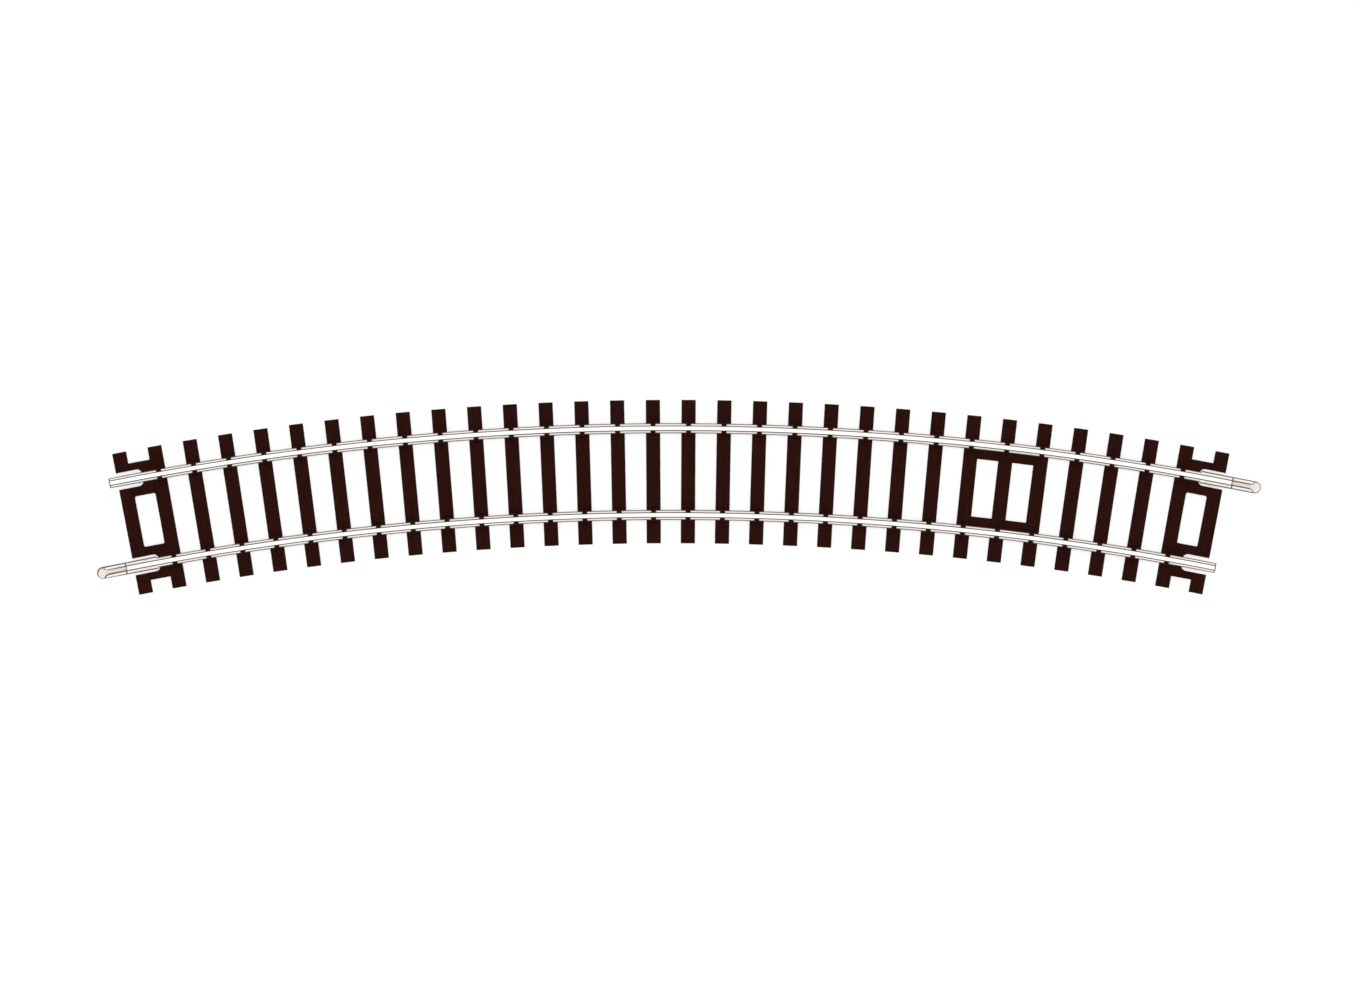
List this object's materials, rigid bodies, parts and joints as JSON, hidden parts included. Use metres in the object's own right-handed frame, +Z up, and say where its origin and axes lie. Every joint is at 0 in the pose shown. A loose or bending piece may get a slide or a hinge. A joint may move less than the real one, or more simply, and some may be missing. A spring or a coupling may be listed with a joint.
{
  "type": "curved model railway track section",
  "caption": "Curved model railway track section: flat-bottom rails on a moulded sleeper base with slotted end frames, a feeder clip frame and push-on rail joiners.",
  "frame": {"origin": "middle of the section's footprint rectangle, level with the sleepers' undersides, which stand on the baseboard", "axes": "+X along the chord of the curve, to the right with the outside of the curve away from the viewer; +Y towards the outside of the curve; +Z up from the baseboard. The centre of the curve is at (-1.69, -566.34) mm and the track centreline's radius is 571.5 mm."},
  "size_m": [0.2337, 0.0392, 0.0049],
  "materials": {
    "sleeper_plastic": "moulded, dark brown, with a fine timber grain on top",
    "rail_metal": "drawn nickel silver with a bright polished head",
    "joiner_metal": "pressed nickel silver sheet, satin"
  },
  "bodies": {
    "track": {"rail_outer": "rail_metal", "rail_inner": "rail_metal", "end_frame_left": "sleeper_plastic", "end_frame_right": "sleeper_plastic", "clip_frame": "sleeper_plastic", "tie_strip_outer": "sleeper_plastic", "tie_strip_inner": "sleeper_plastic", "sleeper_03": "sleeper_plastic", "sleeper_04": "sleeper_plastic", "sleeper_05": "sleeper_plastic", "sleeper_06": "sleeper_plastic", "sleeper_07": "sleeper_plastic", "sleeper_08": "sleeper_plastic", "sleeper_09": "sleeper_plastic", "sleeper_10": "sleeper_plastic", "sleeper_11": "sleeper_plastic", "sleeper_12": "sleeper_plastic", "sleeper_13": "sleeper_plastic", "sleeper_14": "sleeper_plastic", "sleeper_15": "sleeper_plastic", "sleeper_16": "sleeper_plastic", "sleeper_17": "sleeper_plastic", "sleeper_18": "sleeper_plastic", "sleeper_19": "sleeper_plastic", "sleeper_20": "sleeper_plastic", "sleeper_21": "sleeper_plastic", "sleeper_22": "sleeper_plastic", "sleeper_23": "sleeper_plastic", "sleeper_24": "sleeper_plastic", "sleeper_28": "sleeper_plastic", "sleeper_29": "sleeper_plastic", "sleeper_30": "sleeper_plastic"},
    "left_joiner": {"joiner_left": "joiner_metal"},
    "right_joiner": {"joiner_right": "joiner_metal"}
  },
  "joints": [
    {"name": "joiner_left_slide", "type": "slide", "parent": "track", "child": "left_joiner", "axis": [-0.982, -0.1887, 0], "range_m": [0, 0.0063]},
    {"name": "joiner_right_slide", "type": "slide", "parent": "track", "child": "right_joiner", "axis": [0.982, -0.1887, 0], "range_m": [0, 0.0063]}
  ]
}
